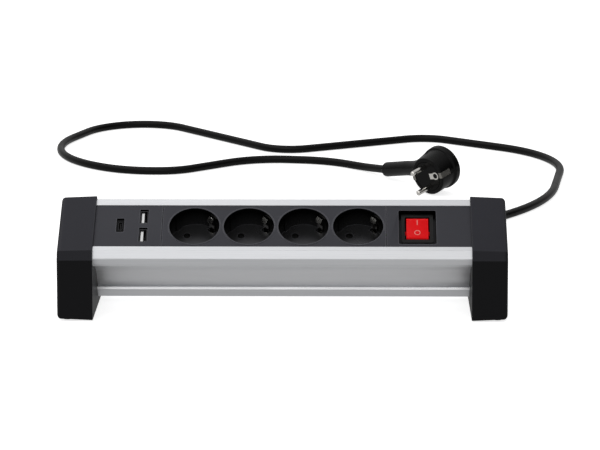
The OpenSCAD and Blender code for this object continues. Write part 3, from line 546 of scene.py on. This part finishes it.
def make_rocker_marks():
    """I on the back half and O on the front half, the usual marks for on and off."""
    raised_mark("rocker_mark_off", [
        (oval(RING_OUTER, RING_Y, 0.0), -MARK_ROOT),
        (oval(RING_OUTER, RING_Y, 0.0), MARK_HEIGHT / 2),
        (oval(RING_OUTER - MARK_EDGE, RING_Y, 0.0), MARK_HEIGHT),
        (oval(RING_INNER + MARK_EDGE, RING_Y, 0.0), MARK_HEIGHT),
        (oval(RING_INNER, RING_Y, 0.0), MARK_HEIGHT / 2),
        (oval(RING_INNER, RING_Y, 0.0), -MARK_ROOT)])
    raised_mark("rocker_mark_on", [
        (oval(BAR_RADIUS, BAR_Y, BAR_STRAIGHT), -MARK_ROOT),
        (oval(BAR_RADIUS, BAR_Y, BAR_STRAIGHT), MARK_HEIGHT / 2),
        (oval(BAR_RADIUS - MARK_EDGE, BAR_Y, BAR_STRAIGHT), MARK_HEIGHT),
        (oval(BAR_CORE, BAR_Y, BAR_STRAIGHT), MARK_HEIGHT),
        (oval(BAR_CORE, BAR_Y, BAR_STRAIGHT), -MARK_ROOT)])


make_rocker_marks()


# ---------- Plug ----------

# The plug's frame: Z along the pins out of the face, Y from the lower pin to the upper one
upper_pin, lower_pin = mounts["plug_pin_upper"], mounts["plug_pin_lower"]
pin_axis = Vector(upper_pin["axis"])
across_pins = (Vector(upper_pin["pos_m"]) - Vector(lower_pin["pos_m"])).normalized()
half_pin = upper_pin["dims"]["length_mm"] * MM / 2
plug_origin = (Vector(upper_pin["pos_m"]) + Vector(lower_pin["pos_m"])) / 2 - pin_axis * half_pin
plug_frame = axes_at(plug_origin, across_pins.cross(pin_axis), across_pins)

# Barrel and flange: radii, and heights over the face. AXIS_GAP is the radius of the small flat at each end
# of the outline.
FACE_RADIUS = 17.9 * MM
BARREL_RADIUS = 18.4 * MM
FLANGE_RADIUS = 20.2 * MM
FLANGE_FRONT = -18.0 * MM
PLUG_BACK = -26.2 * MM
BACK_ROUND = 2.4 * MM
FLANGE_ROUND = 1.2 * MM
FACE_ROUND = 0.9 * MM
FLANGE_STEP = 0.3 * MM
AXIS_GAP = 1.0 * MM
BARREL_STEPS = 128

# Sideways shift of the barrel for each unit of depth
BARREL_LEAN = 0.067

# Cord sleeve: distances are measured along it from the plug's axis
SLEEVE_RADIUS = 7.0 * MM
SLEEVE_END = 80.3 * MM
SLEEVE_CHAMFER = 1.6 * MM
LIP_RADIUS = 4.0 * MM
LIP_END = 83.3 * MM
LIP_STEP = 0.2 * MM
ARM_DEPTH = -15.0 * MM
ARM_ANGLE = math.radians(11.4)
ARM_STEPS = 64

# The sleeve rises sideways by ARM_LIFT over the length ARM_LIFT_LENGTH
ARM_LIFT = 1.9 * MM
ARM_LIFT_LENGTH = 35 * MM

# Neck between sleeve and barrel: where its sections start and end, and how it widens
NECK_START = 70.0 * MM
NECK_END = 6.0 * MM
NECK_SECTIONS = 32
NECK_DEEPER = 4.0 * MM
FLARE_SLOPE = 0.50
FLARE_START = 28.0 * MM
FLARE_BLEND = 4.0 * MM

# Room for the metal parts: the pin carrier's recess, and the grooves of the earth clips
CARRIER_RADIUS = 14.5 * MM
CARRIER_DEPTH = 2.0 * MM
CARRIER_STEPS = 96
GROOVE_INNER = 16.9 * MM
GROOVE_OUTER = 21.0 * MM
GROOVE_HALF_WIDTH = 2.8 * MM
GROOVE_DEPTH = 13.0 * MM
CUTTER_RISE = 2.0 * MM

# Blending of the moulding's parts into one skin
VOXEL_SIZE = 0.5 * MM
SMOOTH_FACTOR = 0.5
SMOOTH_ROUNDS = 5
PLUG_SHARP_ANGLE = math.radians(50)


def quarter(radius, height, size, start, steps=6):
    """Points of a quarter round whose centre is (radius, height), from the angle start in degrees."""
    angles = [math.radians(start + 90 * i / steps) for i in range(steps + 1)]
    return [(radius + size * math.cos(a), height + size * math.sin(a)) for a in angles]


def plug_barrel(shape):
    """Barrel with its rounded flange at the back, leaning a little to one side."""
    outline = [(AXIS_GAP, PLUG_BACK)]
    outline += quarter(FLANGE_RADIUS - BACK_ROUND, PLUG_BACK + BACK_ROUND, BACK_ROUND, -90)
    outline += quarter(FLANGE_RADIUS - FLANGE_ROUND, FLANGE_FRONT - FLANGE_ROUND, FLANGE_ROUND, 0)
    outline += [(BARREL_RADIUS, FLANGE_FRONT + FLANGE_STEP)]
    outline += quarter(FACE_RADIUS - FACE_ROUND, -FACE_ROUND, FACE_ROUND, 0)
    outline += [(AXIS_GAP, 0.0)]
    turned(shape, outline, BARREL_STEPS)
    for vertex in shape.verts:
        vertex.co.y -= BARREL_LEAN * vertex.co.z


def neck_flare(reach):
    """How much wider than the sleeve the neck is: nothing far out, a straight slope near the barrel."""
    return FLARE_SLOPE * FLARE_BLEND * math.log(1 + math.exp((FLARE_START - reach) / FLARE_BLEND))


def arm_stations():
    """Distance, half width and half depth of each section of the arm, from its tip to the barrel."""
    stations = [(LIP_END, LIP_RADIUS, LIP_RADIUS),
                (SLEEVE_END + LIP_STEP, LIP_RADIUS, LIP_RADIUS),
                (SLEEVE_END, SLEEVE_RADIUS - SLEEVE_CHAMFER, SLEEVE_RADIUS - SLEEVE_CHAMFER),
                (SLEEVE_END - SLEEVE_CHAMFER, SLEEVE_RADIUS, SLEEVE_RADIUS)]
    for i in range(NECK_SECTIONS + 1):
        reach = NECK_START + (NECK_END - NECK_START) * i / NECK_SECTIONS
        near = 1 - (reach - NECK_END) / (NECK_START - NECK_END)
        stations.append((reach, SLEEVE_RADIUS + neck_flare(reach), SLEEVE_RADIUS + NECK_DEEPER * near ** 3))
    return stations


def plug_arm(shape):
    """Sleeve that flares into the barrel; its sections are ovals square to the arm."""
    direction = Vector((-math.cos(ARM_ANGLE), 0.0, -math.sin(ARM_ANGLE)))
    sideways = Vector((0.0, 1.0, 0.0))
    upwards = direction.cross(sideways)
    rings = []
    for reach, half_across, half_deep in arm_stations():
        shift = ARM_LIFT * min(1.0, max(0.0, (SLEEVE_END - reach) / ARM_LIFT_LENGTH))
        centre = Vector((0.0, 0.0, ARM_DEPTH)) + direction * reach + sideways * shift
        rings.append([shape.verts.new(centre + sideways * half_across * math.cos(a)
                                      + upwards * half_deep * math.sin(a))
                      for a in angles_around(ARM_STEPS)])
    tube(shape, rings)


def box_between(shape, low, high):
    """Box between its lowest and its highest corner."""
    corners = [shape.verts.new([(low, high)[(k >> axis) & 1][axis] for axis in range(3)]) for k in range(8)]
    for face in ((0, 1, 3, 2), (4, 5, 7, 6), (0, 1, 5, 4), (2, 3, 7, 6), (0, 2, 6, 4), (1, 3, 7, 5)):
        shape.faces.new([corners[k] for k in face])


def plug_cutter():
    """The recess of the pin carrier and the grooves of the two earth clips."""
    shape = bmesh.new()
    turned(shape, [(CARRIER_RADIUS, -CARRIER_DEPTH), (CARRIER_RADIUS, CUTTER_RISE)], CARRIER_STEPS)
    for side in (-1, 1):
        low, high = sorted((side * GROOVE_INNER, side * GROOVE_OUTER))
        box_between(shape, (low, -GROOVE_HALF_WIDTH, -GROOVE_DEPTH), (high, GROOVE_HALF_WIDTH, CUTTER_RISE))
    return object_from("plug_cutter", shape, plug_frame)


def bake(piece):
    """Puts the result of a piece's modifiers into its mesh."""
    view = bpy.context.evaluated_depsgraph_get()
    mesh = bpy.data.meshes.new_from_object(piece.evaluated_get(view))
    piece.modifiers.clear()
    old = piece.data
    piece.data = mesh
    bpy.data.meshes.remove(old)


def make_plug():
    """One soft moulding: barrel, flange and cord sleeve blended together, then cut for the metal parts."""
    shape = bmesh.new()
    plug_barrel(shape)
    plug_arm(shape)
    plug = add_piece("plug_moulding", shape, plug_frame, "plug_plastic", "housing")
    fuse = plug.modifiers.new("fuse", "REMESH")
    fuse.mode = "VOXEL"
    fuse.voxel_size = VOXEL_SIZE
    blend = plug.modifiers.new("blend", "SMOOTH")
    blend.factor = SMOOTH_FACTOR
    blend.iterations = SMOOTH_ROUNDS
    cutter = plug_cutter()
    cut = plug.modifiers.new("cut", "BOOLEAN")
    cut.operation = "DIFFERENCE"
    cut.solver = "EXACT"
    cut.object = cutter
    bake(plug)
    bpy.data.objects.remove(cutter)
    plug.data.shade_smooth()
    plug.data.set_sharp_from_angle(angle=PLUG_SHARP_ANGLE)
    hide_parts("plug_body")


make_plug()


# ---------- Stage, light and camera ----------

FLOOR_SIZE = 14.0
FLOOR_DROP = 0.2 * MM

# How much light the floor gives to the camera, and how much to the object, which would mirror it too bright
FLOOR_SEEN = 0.75
FLOOR_REFLECTED = 0.38

# Light of the surroundings: (Z of the direction, level), and its fall towards the right end of the strip
SKY_LEVELS = [(0.0, 0.30), (0.15, 0.35), (0.6, 0.60), (1.0, 0.50)]
SKY_FALL = {"From Min": 0.5, "From Max": 0.95, "To Min": 1.0, "To Max": 0.15}

# Soft boxes: place, the point they are aimed at, size in metres and power in watts
TOP_BOX = {"place": (-0.6, 0.25, 1.4), "target": (-0.25, 0.05, 0), "size": (1.9, 1.5), "power": 6.2}
FRONT_BOX = {"place": (-0.25, -1.8, 1.4), "target": (0, 0, 0), "size": (2.4, 0.8), "power": 7.0}

# Camera: place, turn to the left, look down, roll, and a lens and sensor in millimetres
CAMERA_PLACE = (0.04925, -2.0415, 0.5578)
CAMERA_YAW = math.radians(1.008)
CAMERA_PITCH = math.radians(13.518)
CAMERA_ROLL = math.radians(-0.143)
CAMERA_LENS = 161.22
CAMERA_SENSOR = 36.0
CAMERA_CLIP = (0.05, 50.0)


def make_floor():
    """Pale desk just under the feet. It is made darker where the object mirrors it."""
    bpy.ops.mesh.primitive_plane_add(size=FLOOR_SIZE, location=(0, 0, -FLOOR_DROP))
    floor = bpy.context.object
    floor.name = "floor"
    paint = Paint("floor")
    speckle = paint.noise(300.0, 2.0)
    seen = paint.add("ShaderNodeLightPath", {}).outputs["Is Camera Ray"]
    pale = paint.mixed(speckle, grey(0.86), grey(0.90))
    paint.finish(Base_Color=paint.mixed(seen, grey(0.15), pale), Roughness=0.9, Emission_Color=grey(1.0),
                 Emission_Strength=paint.remap(seen, FLOOR_REFLECTED, FLOOR_SEEN))
    floor.data.materials.append(paint.material)


def make_world():
    """Soft light from all around, stronger from above and weaker from the right."""
    world = bpy.data.worlds.new("studio")
    bpy.context.scene.world = world
    world.use_nodes = True
    tree = world.node_tree
    background = tree.nodes["Background"]
    place = tree.nodes.new("ShaderNodeTexCoord").outputs["Generated"]
    split = tree.nodes.new("ShaderNodeSeparateXYZ")
    tree.links.new(place, split.inputs[0])
    ramp = tree.nodes.new("ShaderNodeValToRGB")
    tree.links.new(split.outputs["Z"], ramp.inputs[0])
    while len(ramp.color_ramp.elements) < len(SKY_LEVELS):
        ramp.color_ramp.elements.new(0.5)
    for element, (height, level) in zip(ramp.color_ramp.elements, SKY_LEVELS):
        element.position = height
        element.color = grey(level)
    tree.links.new(ramp.outputs["Color"], background.inputs["Color"])
    sideways = tree.nodes.new("ShaderNodeMapRange")
    for name, value in SKY_FALL.items():
        sideways.inputs[name].default_value = value
    tree.links.new(split.outputs["X"], sideways.inputs["Value"])
    tree.links.new(sideways.outputs["Result"], background.inputs["Strength"])


def area_light(name, place, target, size, power):
    """Rectangular soft box aimed at a target."""
    lamp = bpy.data.lights.new(name, "AREA")
    lamp.shape = "RECTANGLE"
    lamp.size, lamp.size_y = size
    lamp.energy = power
    light = place_in_scene(name, lamp)
    light.location = place
    light.rotation_euler = (Vector(target) - Vector(place)).to_track_quat("-Z", "Y").to_euler()


def make_camera():
    """Camera in front of the strip, turned slightly left and looking down."""
    level = Vector((math.cos(CAMERA_YAW), math.sin(CAMERA_YAW), 0))
    ahead = Vector((-math.sin(CAMERA_YAW), math.cos(CAMERA_YAW), 0))
    forward = ahead * math.cos(CAMERA_PITCH) - Vector((0, 0, math.sin(CAMERA_PITCH)))
    right = math.cos(CAMERA_ROLL) * level + math.sin(CAMERA_ROLL) * level.cross(forward)
    data = bpy.data.cameras.new("camera")
    data.sensor_width = CAMERA_SENSOR
    data.lens = CAMERA_LENS
    data.clip_start, data.clip_end = CAMERA_CLIP
    camera = place_in_scene("camera", data)
    camera.matrix_world = axes_at(Vector(CAMERA_PLACE), right, right.cross(forward))
    bpy.context.scene.camera = camera


make_floor()
make_world()
area_light("top", **TOP_BOX)
area_light("front", **FRONT_BOX)
make_camera()
bpy.context.scene.view_settings.view_transform = "Standard"
